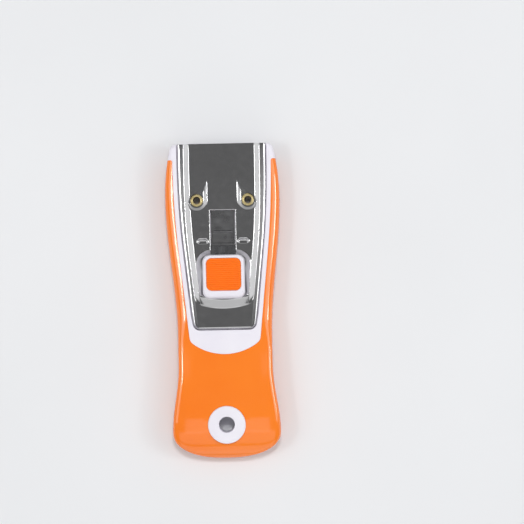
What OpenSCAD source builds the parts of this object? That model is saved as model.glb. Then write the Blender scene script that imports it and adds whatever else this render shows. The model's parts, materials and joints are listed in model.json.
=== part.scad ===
// Retractable razor blade scraper, lying on its sole.
// X is across the tool, +Y points to the blade, Z is up from the sole, in millimetres.
// A station is a distance back from the front edge of the tool.

/* [Blade] */
// Width of the single-edge blade
blade_w = 38.1; // [36:0.1:40]
// Depth of the blade from its edge to the back of its spine
blade_depth = 19; // [18:0.1:20]
// Thickness of the blade
blade_t = 0.25; // [0.2:0.05:0.4]
// Depth of the folded spine
spine_depth = 5.2; // [4.6:0.1:6]
// Thickness of the folded spine
spine_t = 1; // [0.8:0.1:1.2]
// Width of the ground bevel behind the edge
bevel_w = 1.2; // [0.6:0.1:2]
// Distance of the stored edge behind the front of the tool
blade_setback = 1.8; // [1:0.1:3]

/* [Carrier, lock and button] */
// Forward travel of the carrier
travel = 14; // [11:0.5:15]
// Downward travel of the button
press = 0.7; // [0.4:0.1:0.9]
// Thickness of the carrier
carrier_t = 1; // [0.8:0.1:1.2]
// Width of the carrier's tongue
tongue_w = 10.4; // [9:0.1:10.6]
// From the side of the channel's flat top in to the carrier's head
head_in = 2.1; // [1.8:0.1:4]
// Thickness of the lock leaf
leaf_t = 0.5; // [0.3:0.1:0.6]
// From the side of the channel's flat top in to the lock leaf's ears
ear_in = 2.1; // [1.8:0.1:3]
// Width of the lock leaf behind its ears
leaf_w = 11.8; // [11:0.1:12]
// Width of the button
button_w = 18.8; // [17:0.2:20]
// Length of the button
button_l = 19.4; // [18:0.2:21]
// Height of the button above its skirt
button_h = 3.6; // [2.8:0.1:4.5]
// Width of the button's frame beside the ribbed pad
frame_side = 1.7; // [1.5:0.1:2.4]
// Length of the button's frame behind the ribbed pad
frame_rear = 3.5; // [3.4:0.1:4.5]
// Number of ribs across the pad
pad_ribs = 16; // [10:1:20]

/* [Cover plate] */
// Thickness of the pressed sheet
sheet_t = 0.9; // [0.7:0.05:1.1]
// Height of the raised channel over the flange
channel_rise = 2; // [1.8:0.1:2.4]
// Width of the channel's sloping flank, seen from above
flank_w = 2.2; // [1.6:0.1:2.6]
// From the plate's edge to the top of the flank, at the front
land_front = 4.85; // [4.4:0.05:5.2]
// From the plate's edge to the top of the flank, behind the bend
land_rear = 4.3; // [4:0.05:4.8]
// Angle at which the sides of the plate run in towards the rear
plate_taper = 6; // [4:0.25:7]
// Width of the slot that the button slides in
slot_w = 11.2; // [11:0.1:12]
// Depth of the thumb dish round the button
dish_d = 0.5; // [0.3:0.05:0.6]
// Length of flat plate behind the channel
plate_tail = 9; // [7:0.25:11]

/* [Eyelets] */
// From the carrier's tongue out to the pockets round the eyelets
pocket_gap = 1.8; // [1.5:0.1:2.4]
// Bore of an eyelet
eyelet_bore = 2.9; // [2.4:0.1:3.2]
// Wall of an eyelet's barrel
eyelet_wall = 0.4; // [0.3:0.05:0.5]
// Diameter of an eyelet's rolled flange
eyelet_flange_d = 5.3; // [5:0.1:5.6]

/* [Handle] */
// Length of the tool
tool_len = 140; // [130:1:155]
// Height of the blade bed above the sole
bed_z = 10; // [9:0.25:12]
// Width of the white rim beside the cover plate
rim_w = 2.3; // [1.8:0.1:3]
// Width of the orange strip beside the rim at the shoulder
strip_w = 3.7; // [3:0.1:5]
// Width of the grip at its waist
waist_w = 42.1; // [40:0.1:46]
// Width of the grip at its tail
tail_w = 48.2; // [44:0.2:54]
// Length of the rounded tail
tail_l = 12; // [10:0.5:14]
// Rise of the crown over the rim of the tray
crown_rise = 1.8; // [1:0.1:3]
// Thickness of the soft grip
grip_t = 2.2; // [1.6:0.1:2.6]
// Thickness of the shells' walls
wall_t = 2.2; // [1.8:0.1:2.8]
// Station at which the soft grip starts
grip_front = 7; // [5:0.25:9]
// Diameter of the white boss round the hang hole
boss_d = 16.8; // [14:0.2:18]
// Diameter of the hang hole
hang_d = 7; // [5:0.25:8]
// Distance of the hang hole from the tail
hang_from_tail = 15.2; // [13:0.2:18]

/* [Hidden] */

// Clearances
fit_gap = 0.1;
slide_gap = 0.25;
side_gap = 0.3;
plate_gap = 0.4;
stop_gap = 0.5;
leaf_gap = 0.2;

// How far a cut reaches past a face, and a size larger than the tool
over = 1;
far = 200;

// Heights, from the blade bed up
spine_z = bed_z + fit_gap;
spine_top = spine_z + spine_t;
blade_mid = spine_z + spine_t / 2;
carrier_z = spine_top + fit_gap;
carrier_top = carrier_z + carrier_t;
seat_z = spine_top + side_gap;
flange_z = seat_z + sheet_t;
channel_z = flange_z + channel_rise;
dish_z = channel_z - dish_d;
leaf_top = dish_z - sheet_t - leaf_gap;
leaf_z = leaf_top - leaf_t;
pad_top = carrier_z;
pad_z = pad_top - carrier_t;
hook_t = 0.6;
hook_z = pad_z - fit_gap - hook_t;
groove_z = hook_z - press - side_gap;
floor_t = 1.6;
floor_z = groove_z - floor_t;
skirt_z = channel_z + press + side_gap;
button_top = skirt_z + button_h;
rim_rise = 0.9;
deck_z = flange_z + rim_rise;
crown_z = deck_z + crown_rise;
boss_drop = 0.4;
boss_z = crown_z - boss_drop;
part_drop = 4;
part_z = bed_z - part_drop;
edge_rise = 0.5;
edge_z = part_z + edge_rise;

// Sides of the cover plate, straight in front and bent in behind
plate_ledge = 0.25;
plate_hw = blade_w / 2 + side_gap + plate_ledge;
bend_s = 8;
bend_l = 40;
bend_r = bend_l / sin(plate_taper);

// Eyelets, from the back of the blade
spine_end = blade_setback + blade_depth;
spine_s = spine_end - spine_depth;
spine_fold = 0.5;
tab_s = spine_end + fit_gap;
tab_end = tab_s + carrier_t;
barrel_r = eyelet_bore / 2 + eyelet_wall;
column_wall = 1;
column_r = barrel_r + column_wall;
eyelet_s = tab_end + side_gap + column_r;
washer_t = 0.6;
washer_margin = 2;
washer_r = barrel_r + washer_margin;
washer_sink = 1.8;

// Pockets round the eyelets, each with a ramp that starts at a point on its inner wall
pocket_margin = 1.25;
pocket_r = eyelet_flange_d / 2 + pocket_margin;
pocket_draft = 1;
pocket_x = tongue_w / 2 + pocket_gap;
eyelet_x = pocket_x + pocket_r + pocket_draft / 2;
ramp_turn = 32;
ramp_slope = 27;
ramp_l = 7.5;
ramp_s = eyelet_s - ramp_l;
ramp_fall = tan(ramp_slope) * cos(ramp_turn);
head_w = 2 * (channel_hw(ramp_s) - head_in);

// Slot, stop rib and lock, from the pockets back
slot_s = eyelet_s + pocket_r + pocket_draft / 2 + fit_gap;
rib_s = slot_s + travel + stop_gap;
rib_t = 1.2;
rib_end = rib_s + rib_t;
dimple_lead = 0.7;
dimple_s = rib_s - dimple_lead;
dimple_r = 1.2;
dimple_l = 2.9;
dimple_in = 1.3;
dimple_reach = sqrt(pow(dimple_r + sheet_t, 2) - pow(channel_z - leaf_top, 2));
ear_s = dimple_s + dimple_reach + slide_gap;
ear_end = dimple_s + travel - dimple_reach - slide_gap;
ear_w = 2 * (channel_hw(ear_end) - ear_in);
dimple_x = ear_w / 2 - dimple_in;
pad_w = ear_w - 2 * side_gap;

// Button, with its neck through the slot and its post through the carrier
button_lead = 15;
button_s = rib_s + button_lead;
button_front = button_s - button_l / 2;
button_end = button_s + button_l / 2;
post_lead = 1.4;
post_w = 6.8;
post_l = 5;
post_s = ear_end + post_lead;
post_end = post_s + post_l;
neck_in = 1.8;
neck_tail = 1;
neck_w = slot_w - 2 * side_gap;
neck_s = button_front + neck_in;
neck_end = post_end + neck_tail;
slot_end = neck_end + side_gap;
frame_front = 1.5;
pad_face_w = button_w - 2 * frame_side;
pad_face_l = button_l - frame_front - frame_rear;
pad_face_s = button_front + frame_front + pad_face_l / 2;
pad_face_d = 0.9;
pad_face_r = 2.5;

// Rivets, and the rear ends of the leaf and the carrier
rivet_lead = 4.5;
rivet_s = post_end + rivet_lead;
rivet_x = 4;
rivet_r = 0.9;
leaf_tail = 2.5;
leaf_end = rivet_s + leaf_tail;
pad_tail = 1;
pad_end = leaf_end + pad_tail;

// Thumb dish, the channel's rear end and the cover plate's outline
dish_margin = 1.7;
dish_r = 4;
dish_s = button_front - dish_margin;
dish_w = button_w + 2 * dish_margin;
channel_tail = 3.3;
channel_end = max(button_end, pad_end) + channel_tail;
rear_slope = 4.3;
rear_r = 29;
flank_in = 0.3;
plate_l = channel_end + plate_tail;
plate_edge = 0.8;
plate_corner = 3;

// Handle outline
shoulder_s = 24;
shoulder_hw = plate_hw + rim_w + strip_w;
nose_draw = 2.9;
nose_r = 2.4;
nose_lip = 3.5;
waist_lead = 4;
waist_l = 12;
waist_s = plate_l + waist_lead;
flare_s = waist_s + waist_l;
tail_s = tool_len - tail_l;
tail_sq = 2.25;
hang_s = tool_len - hang_from_tail;
drop_lead = 3.5;
drop_s = hang_s - drop_lead;
drop_sq = 1.7;
crown_lead = 19;
crown_l = 35;
crown_s = waist_s + crown_lead;
sole_s = 47;
sole_dip = 0.4;
sole_curve = 1.7;
sole_lead = 2;
sole_up_s = tail_s - sole_lead;
top_sq = 5;
sole_sq = 4;

// White areas
tongue_r = 24;
tongue_tail = 11;
tongue_end = plate_l + tongue_tail;
tongue_blend = 0.5;
sole_margin = 1;
sole_window_l = 62;
sole_window_r = 12;

// Helpers
function y_at(s) = tool_len / 2 - s;
function share(s, a, b) = min(max((s - a) / (b - a), 0), 1);
function mix(a, b, t) = a + (b - a) * t;
function ease(a, b, t) = mix(a, b, (1 - cos(180 * t)) / 2);
function power(v, p) = sign(v) * pow(abs(v), p);
function round_off(t, q) = pow(max(1 - pow(t, q), 0), 1 / q);
function soft_min(a, b, k) = -k * ln(exp(-a / k) + exp(-b / k));
function mirrored(half) = concat(
    [for (i = [len(half) - 1 : -1 : 0]) [half[i][0], y_at(half[i][1])]],
    [for (p = half) [-p[0], y_at(p[1])]]);
function round_rect(w, l, r, steps = 6) = [for (c = [[1, 1, 0], [-1, 1, 90], [-1, -1, 180], [1, -1, 270]])
    for (i = [0 : steps]) [
        c[0] * (w / 2 - r) + r * cos(c[2] + 90 * i / steps),
        c[1] * (l / 2 - r) + r * sin(c[2] + 90 * i / steps)]];

// A solid through rings of points. Each ring turns anticlockwise seen from the last one,
// and its two halves mirror each other, so that strips between them close the ends.
module loft(rings) {
    n = len(rings[0]);
    last = len(rings) - 1;
    top = last * n;
    sides = [for (i = [0 : last - 1]) for (j = [0 : n - 1]) let (k = (j + 1) % n) each [
        [i * n + j, (i + 1) * n + j, (i + 1) * n + k],
        [i * n + j, (i + 1) * n + k, i * n + k]]];
    ends = [for (j = [0 : n / 2 - 2]) let (a = n - 1 - j, b = n - 2 - j) each [
        [j, j + 1, b], [j, b, a],
        [top + b, top + j + 1, top + j], [top + a, top + b, top + j]]];
    polyhedron([for (r = rings) each r], concat(sides, ends));
}

// A box between two stations and two heights, centred on the tool's axis
module block(w, s0, s1, z0, z1) {
    translate([-w / 2, y_at(s1), z0]) cube([w, s1 - s0, z1 - z0]);
}

module at(x, s, z = 0) {
    translate([x, y_at(s), z]) children();
}

// A profile of stations and heights, drawn out across the tool
module across(w, profile) {
    translate([-w / 2, 0, 0]) rotate([90, 0, 90]) linear_extrude(w)
        polygon([for (p = profile) [y_at(p[0]), p[1]]]);
}

// Handle form: half width, top and underside at a station, drawn in by an inset
function side_hw(s) =
    s < shoulder_s ? shoulder_hw - nose_draw * pow(1 - s / shoulder_s, 2)
    : s < waist_s ? ease(shoulder_hw, waist_w / 2, share(s, shoulder_s, waist_s))
    : ease(waist_w / 2, tail_w / 2, share(s, flare_s, tail_s));
function nose_cut(s) = s < nose_r ? nose_r - sqrt(nose_r * nose_r - pow(nose_r - s, 2)) : 0;
function form_hw(s, inset) =
    (side_hw(s) - nose_cut(s) - inset) * round_off(share(s, tail_s, tool_len - inset), tail_sq);
function crown(s) = s < crown_s
    ? ease(deck_z, crown_z, share(s, crown_s - crown_l, crown_s))
    : ease(crown_z, boss_z, share(s, crown_s, drop_s));
function form_top(s, inset) =
    mix(edge_z, crown(s) - inset, round_off(share(s, drop_s, tool_len - inset), drop_sq));
function form_low(s, inset) = s < sole_s
    ? inset - sole_dip + (bed_z - nose_lip + sole_dip) * pow(1 - s / sole_s, sole_curve)
    : mix(edge_z, inset - sole_dip, round_off(share(s, sole_up_s, tool_len - inset), tail_sq));
function form_ring(s, inset, sides) = let (
    hw = form_hw(s, inset),
    top = form_top(s, inset),
    low = form_low(s, inset),
    mid = (top + low) / 2)
    [for (j = [0 : sides - 1]) let (
        a = (j + 0.5) * 360 / sides - 90,
        up = sin(a) > 0,
        q = up ? top_sq : sole_sq) [
        hw * power(cos(a), 2 / q),
        y_at(s),
        max(inset, mid + (up ? top - mid : mid - low) * power(sin(a), 2 / q))]];
function form_stations(s0, inset, step) = concat(
    s0 < nose_r ? [for (a = [0 : 30 : 90]) nose_r * (1 - cos(a))] : [s0],
    [for (s = [max(s0, nose_r) + step : step : tail_s - step / 2]) s],
    [for (a = [0 : 10 : 80]) tail_s + (tool_len - inset - tail_s) * sin(a)],
    [for (a = [86, 89]) tail_s + (tool_len - inset - tail_s) * sin(a)]);
module form(s0, inset, step = 6, sides = 28) {
    loft([for (s = form_stations(s0, inset, step)) form_ring(s, inset, sides)]);
}

// White areas left bare by the soft grip
function plate_side(s) = let (a = asin(min(max((s - bend_s) / bend_r, 0), sin(plate_taper))))
    plate_hw - bend_r * (1 - cos(a)) - max(s - bend_s - bend_l, 0) * tan(plate_taper);
function tongue_hw(s) = let (mid = tongue_end - tongue_r, side = plate_side(s) + rim_w)
    s < mid ? side : soft_min(side, sqrt(max(tongue_r * tongue_r - pow(s - mid, 2), 0)), tongue_blend);
function sole_hw(s) = let (hw = eyelet_x + washer_r + sole_margin)
    (hw - plate_side(eyelet_s) + plate_side(s))
    * round_off(share(s, sole_window_l - sole_window_r, sole_window_l), 2);
function plan_points(end, half_width, steps = 30) = mirrored([for (i = [0 : steps])
    let (s = mix(-over, end, 1 - pow(1 - i / steps, 2))) [max(half_width(s), fit_gap), s]]);
module bare_areas() {
    block(far, -over, grip_front, -over, far);
    translate([0, 0, part_z]) linear_extrude(far)
        polygon(plan_points(tongue_end, function(s) tongue_hw(s)));
    translate([0, 0, -over]) linear_extrude(part_z + over)
        polygon(plan_points(sole_window_l, function(s) sole_hw(s)));
    at(0, hang_s, -over) cylinder(h = far, d = boss_d, $fn = 64);
}

module core() {
    intersection() {
        union() {
            form(0, 0);
            at(0, hang_s, 0) cylinder(h = boss_z, d = boss_d, $fn = 64);
        }
        union() {
            form(grip_front - over, grip_t);
            bare_areas();
        }
    }
}

// Room inside the shells, round the columns of the eyelets and the hang hole
module hollow() {
    difference() {
        form(shoulder_s / 2, grip_t + wall_t, step = 10, sides = 16);
        block(far, -over, pad_end + side_gap + wall_t, floor_z, far);
        for (x = [-eyelet_x, eyelet_x])
            at(x, eyelet_s, -over) cylinder(h = far, r = column_r + wall_t, $fn = 48);
        at(0, hang_s, -over) cylinder(h = far, d = boss_d, $fn = 64);
    }
}

// Outline of the cover plate, grown by a gap
function plate_points(gap, step = 5) = let (end = plate_l + gap, corner = plate_corner + gap) mirrored(concat(
    [for (s = [-over : step : plate_l - plate_corner - step / 2]) [plate_side(s) + gap, s]],
    [for (a = [0 : 15 : 90]) [
        plate_side(plate_l) + gap - corner * (1 - cos(a)), end - corner * (1 - sin(a))]]));

// Wells in the tray: blade bed, carrier neck, carrier pad and the groove for the button's hooks
module tray() {
    well_w = max(pad_w, ear_w) + 2 * side_gap;
    translate([0, 0, seat_z]) linear_extrude(far) polygon(plate_points(plate_gap));
    block(blade_w + 2 * side_gap, -over, tab_end + side_gap, bed_z, far);
    block(tongue_w + 2 * side_gap, tab_end, slot_s + stop_gap + over, bed_z, far);
    block(well_w, slot_s + stop_gap, pad_end + side_gap, pad_z - fit_gap, far);
    block(post_w + 2 * hook_t + 2 * side_gap, post_s - travel - over, post_end + over, groove_z, far);
}

module eyelet_bores() {
    for (x = [-eyelet_x, eyelet_x]) {
        at(x, eyelet_s, -over) cylinder(h = far, r = barrel_r + fit_gap / 2, $fn = 48);
        at(x, eyelet_s, -over) cylinder(h = washer_z() + over, r = washer_r + side_gap, $fn = 48);
    }
}

module hang_bore() {
    at(0, hang_s, -over) cylinder(h = far, d = hang_d, $fn = 64);
}

module upper_shell() {
    color("whitesmoke") difference() {
        intersection() {
            core();
            block(far, -over, tool_len + over, part_z, far);
        }
        hollow();
        tray();
        eyelet_bores();
        hang_bore();
    }
}

module lower_shell() {
    color("whitesmoke") difference() {
        intersection() {
            core();
            block(far, -over, tool_len + over, -over, part_z);
        }
        hollow();
        eyelet_bores();
        hang_bore();
    }
}

module grip_overmould() {
    color("darkorange") difference() {
        form(0, 0);
        form(grip_front - over, grip_t);
        bare_areas();
    }
}

// Cover plate
function channel_hw(s) = plate_side(s) - ease(land_front, land_rear, share(s, bend_s, bend_s + bend_l));
function flank_ring(s, drop, draw) = let (
    top = channel_hw(s) - draw,
    curve = [[1, 0], [0.86, 0.05], [0.68, 0.22], [0.32, 0.78], [0.14, 0.95], [0, 1]],
    half = [for (c = curve) [top + flank_w * c[0], flange_z + channel_rise * c[1] - drop]],
    foot = [[top + flank_w, seat_z - over]],
    side = concat(foot, half))
    concat(
        [for (p = side) [p[0], y_at(s), p[1]]],
        [for (i = [len(side) - 1 : -1 : 0]) [-side[i][0], y_at(s), side[i][1]]]);
module channel(drop, draw) {
    end = channel_end - draw;
    step = 6;
    intersection() {
        loft([for (s = [-over - draw : step : end + step]) flank_ring(s, drop, draw)]);
        at(0, end - rear_r, seat_z - over) union() {
            cylinder(h = sheet_t + over - drop, r = rear_r, $fn = 96);
            translate([0, 0, sheet_t + over - drop])
                cylinder(h = channel_rise, r1 = rear_r, r2 = rear_r - rear_slope, $fn = 96);
            translate([-far / 2, 0, 0]) cube([far, far, far]);
        }
    }
}

// What is pressed down into the channel, grown by the sheet for the underside
module pressings(grow) {
    for (m = [0, 1]) mirror([m, 0, 0]) {
        eyelet_pocket(grow);
        at(dimple_x, dimple_s, channel_z) {
            translate([-dimple_l / 2, 0, 0]) rotate([0, 90, 0])
                cylinder(h = dimple_l, r = dimple_r + grow, $fn = 48);
            for (x = [-dimple_l / 2, dimple_l / 2])
                translate([x, 0, 0]) sphere(r = dimple_r + grow, $fn = 48);
        }
    }
    dish_l = channel_end - rear_slope - dish_s;
    at(0, dish_s + dish_l / 2, dish_z - grow) linear_extrude(channel_rise)
        polygon(round_rect(dish_w + grow, dish_l + grow, dish_r));
}

// A round pocket, open to the flange at its side and run out to the front along its inner wall
module eyelet_pocket(grow) {
    draw = grow / 2;
    height = channel_rise + over;
    low_r = pocket_r + draw;
    high_r = low_r + pocket_draft * height / channel_rise;
    at(eyelet_x, eyelet_s, flange_z - grow) {
        cylinder(h = height, r1 = low_r, r2 = high_r, $fn = 48);
        translate([0, -pocket_r - draw, 0]) cube([far, pocket_r + eyelet_flange_d / 2 + 2 * draw, height]);
    }
    intersection() {
        at(pocket_x - draw, ramp_s, channel_z - grow) rotate([0, 0, -ramp_turn]) rotate([ramp_slope, 0, 0])
            translate([-far / 2, -far / 2, 0]) cube([far, far, far]);
        translate([pocket_x - draw, y_at(eyelet_s), flange_z - grow]) cube([far, eyelet_s - ramp_s, height]);
    }
}

// The flat sheet, with its outer edge rolled over
module plate_flange() {
    roll = [[0, 0], [0, 0.3], [0.1, 0.65], [0.4, 0.9], [1, 1]];
    intersection() {
        loft([for (c = roll) [for (p = plate_points(-plate_edge * c[0]))
            [p[0], p[1], seat_z + sheet_t * c[1]]]]);
        block(far, 0, tool_len, 0, far);
    }
}

module cover_plate() {
    color("silver") difference() {
        union() {
            plate_flange();
            intersection() {
                difference() {
                    channel(0, 0);
                    pressings(0);
                }
                block(far, 0, tool_len, seat_z, far);
            }
        }
        difference() {
            channel(sheet_t, flank_in);
            pressings(sheet_t);
        }
        block(slot_w, slot_s, slot_end, seat_z - over, far);
        for (x = [-eyelet_x, eyelet_x])
            at(x, eyelet_s, seat_z - over) cylinder(h = far, r = barrel_r + fit_gap / 2, $fn = 48);
    }
}

// Eyelets, rolled over the cover above and over a washer below
function washer_z() = form_low(eyelet_s - washer_r, 0) + washer_sink;
module eyelet(x) {
    roll_r = (eyelet_flange_d - eyelet_bore) / 4;
    roll_mid = eyelet_bore / 2 + roll_r;
    low_z = washer_z() - washer_t;
    root = roll_r / 2;
    color("goldenrod") at(x, eyelet_s) rotate_extrude($fn = 48) {
        translate([eyelet_bore / 2, low_z - root]) square([eyelet_wall, flange_z - low_z + 2 * root]);
        intersection() {
            translate([roll_mid, flange_z]) circle(r = roll_r, $fn = 32);
            translate([0, flange_z]) square([far, far]);
        }
        intersection() {
            translate([roll_mid, low_z]) circle(r = roll_r, $fn = 32);
            translate([0, low_z - far]) square([far, far]);
        }
    }
}
module eyelet_washer(x) {
    color("gold") at(x, eyelet_s, washer_z() - washer_t) difference() {
        cylinder(h = washer_t, r = washer_r, $fn = 48);
        translate([0, 0, -over]) cylinder(h = far, r = barrel_r + fit_gap / 2, $fn = 48);
    }
}
module eyelet_left() { eyelet(-eyelet_x); }
module eyelet_right() { eyelet(eyelet_x); }
module eyelet_washer_left() { eyelet_washer(-eyelet_x); }
module eyelet_washer_right() { eyelet_washer(eyelet_x); }

// Carriage: the carrier grips the blade's spine, and the lock leaf is riveted to its pad
module blade_carrier() {
    lip = 1.1;
    lip_z = blade_mid + blade_t / 2 + fit_gap;
    lip_s = spine_s - fit_gap - lip;
    wing_end = ramp_s + (seat_z + channel_rise - carrier_top - side_gap) / ramp_fall;
    rib_top = channel_z - stop_gap;
    rib_draft = 0.2;
    bead_r = 0.6;
    bead_lead = 5;
    bead_w = tongue_w - 3 * bead_r;
    color("slategray") difference() {
        union() {
            across(tongue_w, [[lip_s, carrier_z], [lip_s, carrier_top], [rib_s, carrier_top],
                [rib_s + rib_draft, rib_top], [rib_end, rib_top], [rib_end, pad_top],
                [pad_end, pad_top], [pad_end, pad_z], [rib_s, pad_z], [rib_s, carrier_z]]);
            across(head_w, [[lip_s, lip_z], [lip_s, carrier_top], [wing_end, carrier_top],
                [wing_end, carrier_z], [lip_s + lip, carrier_z], [lip_s + lip, lip_z]]);
            block(tongue_w, tab_s, tab_end, spine_z, carrier_z + carrier_t / 2);
            block(pad_w, ear_s, pad_end, pad_z, pad_top);
            at(-bead_w / 2, rib_s - bead_lead, carrier_top) rotate([0, 90, 0])
                cylinder(h = bead_w, r = bead_r, $fn = 32);
        }
        block(post_w + 2 * fit_gap, post_s - fit_gap, post_end + fit_gap, pad_z - over, pad_top + over);
        rivet_holes();
    }
}
module rivet_holes() {
    for (x = [-rivet_x, rivet_x]) at(x, rivet_s, 0) cylinder(h = far, r = rivet_r, $fn = 32);
}

module blade() {
    edge_t = 0.04;
    root = spine_end - spine_fold;
    color("lightsteelblue") across(blade_w, [
        [blade_setback, blade_mid - edge_t / 2], [blade_setback, blade_mid + edge_t / 2],
        [blade_setback + bevel_w, blade_mid + blade_t / 2], [root, blade_mid + blade_t / 2],
        [root, blade_mid - blade_t / 2], [blade_setback + bevel_w, blade_mid - blade_t / 2]]);
}

module blade_spine() {
    color("gray") difference() {
        block(blade_w, spine_s, spine_end, spine_z, spine_top);
        block(far, spine_s - over, spine_end - spine_fold, blade_mid - blade_t / 2, blade_mid + blade_t / 2);
    }
}

module lock_leaf() {
    front = rib_end + slide_gap;
    bend = ear_end + stop_gap;
    foot = post_end + over;
    color("steelblue") difference() {
        union() {
            across(leaf_w, [[front, leaf_z], [front, leaf_top], [bend, leaf_top],
                [foot, pad_top + leaf_t], [leaf_end, pad_top + leaf_t], [leaf_end, pad_top],
                [foot, pad_top], [bend, leaf_z]]);
            block(ear_w, ear_s, ear_end, leaf_z, leaf_top);
        }
        block(tongue_w + 2 * slide_gap, 0, front, 0, far);
        block(post_w + 2 * slide_gap, post_s - slide_gap, post_end + slide_gap, 0, far);
        rivet_holes();
    }
}

module leaf_rivet(x) {
    head_rim = 0.7;
    head_r = rivet_r + head_rim;
    head_h = 0.4;
    head_draft = 0.3;
    grip = carrier_t + leaf_t;
    color("lightgray") at(x, rivet_s, pad_z) {
        cylinder(h = grip + head_h / 2, r = rivet_r, $fn = 32);
        translate([0, 0, grip]) cylinder(h = head_h, r1 = head_r, r2 = head_r - head_draft, $fn = 32);
    }
}
module leaf_rivet_left() { leaf_rivet(-rivet_x); }
module leaf_rivet_right() { leaf_rivet(rivet_x); }

// Button: a moulded frame on a neck, with hooks under the carrier
module slide_button() {
    corner = 3.2;
    corner_top = 2.6;
    front_in = 0.7;
    side_in = 0.9;
    rear_in = 3;
    root = 0.5;
    hook_in = 0.8;
    low = round_rect(button_w, button_l, corner);
    high = round_rect(button_w - 2 * side_in, button_l - front_in - rear_in, corner_top);
    shift = (rear_in - front_in) / 2;
    curve = [[0, 0], [0, 0.3], [0.12, 0.62], [0.35, 0.84], [0.7, 0.97], [1, 1]];
    color("whitesmoke") {
        difference() {
            at(0, button_s) loft([for (c = curve) [for (i = [0 : len(low) - 1]) [
                mix(low[i][0], high[i][0], c[0]),
                mix(low[i][1], high[i][1] + shift, c[0]),
                skirt_z + button_h * c[1]]]]);
            at(0, pad_face_s, button_top - pad_face_d) linear_extrude(far)
                polygon(round_rect(pad_face_w, pad_face_l, pad_face_r));
        }
        block(neck_w, neck_s, neck_end, leaf_top + fit_gap, skirt_z + root);
        block(post_w, post_s, post_end, hook_z, leaf_top + root);
        for (m = [0, 1]) mirror([m, 0, 0])
            at(post_w / 2, post_end - hook_in, hook_z) rotate([90, 0, 180])
                linear_extrude(post_l - 2 * hook_in) polygon([[0, 0], [0, hook_t], [-hook_t, hook_t]]);
    }
}

module button_pad() {
    pitch = pad_face_l / pad_ribs;
    rib_h = 0.35;
    proud = 0.1;
    base = button_top - pad_face_d;
    valley = button_top + proud;
    front = pad_face_s - pad_face_l / 2;
    color("orangered") intersection() {
        at(0, pad_face_s, base) linear_extrude(far) polygon(round_rect(pad_face_w, pad_face_l, pad_face_r));
        across(pad_face_w, concat([[front, base]],
            [for (i = [0 : pad_ribs - 1]) each [
                [front + i * pitch, valley], [front + (i + 0.5) * pitch, valley + rib_h]]],
            [[front + pad_face_l, valley], [front + pad_face_l, base]]));
    }
}

upper_shell();
lower_shell();
grip_overmould();
cover_plate();
eyelet_left();
eyelet_right();
eyelet_washer_left();
eyelet_washer_right();
blade_carrier();
blade();
blade_spine();
lock_leaf();
leaf_rivet_left();
leaf_rivet_right();
slide_button();
button_pad();
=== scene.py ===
"""Looks of a retractable razor blade scraper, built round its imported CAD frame.

Lengths are in millimetres, and MM turns them into metres.
A station, written s, is a distance back from the tool's front edge. HW is a half width.
"""
import json
import math

import bmesh
import bpy
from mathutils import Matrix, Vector

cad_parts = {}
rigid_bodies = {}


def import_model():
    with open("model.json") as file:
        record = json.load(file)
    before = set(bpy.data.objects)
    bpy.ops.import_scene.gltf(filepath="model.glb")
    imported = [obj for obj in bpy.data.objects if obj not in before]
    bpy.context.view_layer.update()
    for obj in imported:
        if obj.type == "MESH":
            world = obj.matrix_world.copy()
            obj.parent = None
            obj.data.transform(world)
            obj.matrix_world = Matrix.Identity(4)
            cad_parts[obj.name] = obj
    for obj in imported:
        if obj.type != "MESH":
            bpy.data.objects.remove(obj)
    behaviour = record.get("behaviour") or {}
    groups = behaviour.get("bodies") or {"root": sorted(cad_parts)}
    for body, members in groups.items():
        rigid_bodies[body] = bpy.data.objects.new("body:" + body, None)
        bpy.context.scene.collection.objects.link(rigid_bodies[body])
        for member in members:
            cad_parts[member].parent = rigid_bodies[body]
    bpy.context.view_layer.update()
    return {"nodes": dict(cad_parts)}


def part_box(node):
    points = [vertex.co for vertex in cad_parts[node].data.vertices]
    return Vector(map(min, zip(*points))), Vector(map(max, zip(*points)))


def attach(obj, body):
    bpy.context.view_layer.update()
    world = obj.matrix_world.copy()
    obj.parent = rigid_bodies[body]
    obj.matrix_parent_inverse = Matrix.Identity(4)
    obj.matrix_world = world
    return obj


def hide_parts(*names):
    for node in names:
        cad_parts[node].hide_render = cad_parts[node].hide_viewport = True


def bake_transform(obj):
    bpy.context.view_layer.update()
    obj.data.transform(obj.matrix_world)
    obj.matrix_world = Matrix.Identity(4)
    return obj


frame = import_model()
MM = 0.001
CLEAR = 30

# Outer form of the handle. FIT keeps its width within the solid's.
LENGTH = 140.0
PART_Z = 6.0
EDGE_Z = 6.5
DECK_Z = 13.2
CROWN_Z = 15.0
CROWN_S = 105.44
CROWN_L = 35
DROP_S = 121.3
DROP_POWER = 1.7
NOSE_R = 2.4
FRONT_DRAW = 2.9
SHOULDER_S = 24.0
SHOULDER_HW = 25.6
WAIST_S = 86.44
WAIST_HW = 21.05
FLARE_S = 98.44
TAIL_S = 128.0
TAIL_HW = 24.1
TAIL_POWER = 2.25
SOLE_S = 47.0
SOLE_RISE = 6.9
SOLE_POWER = 1.7
SOLE_DIP = 0.4
SOLE_ROUND = 4
TOP_ROUND = 5.0
TOP_SQUARE = 10.0
SQUARE_FROM = 76
SQUARE_BY = 94
FIT = 0.997

# Shells, grip and hang hole. ALL_ROUND is the half width, front and back of a box that clears the handle.
ALL_ROUND = (40, -10, 150)
CORE_S = 6
GRIP_T = 2.2
GRIP_FRONT = 7.0
GRIP_CORNER = 0.8
RIM_W = 2.3
TONGUE_END = 93.44
TONGUE_R = 24.0
TONGUE_BLEND = 0.5
WINDOW_RIM = 4.85
WINDOW_S = 50
WINDOW_END = 62
BED_Z = 10.0
GROOVE_Z = 9.4
CARRIER_HW = 10.6
COUNTERBORE_R = 4.15
MOUTH_R = 4.3
BOSS_Z = 14.6
BOSS_R = 8.4
HANG_R = 3.5
HANG_S = 124.8

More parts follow.
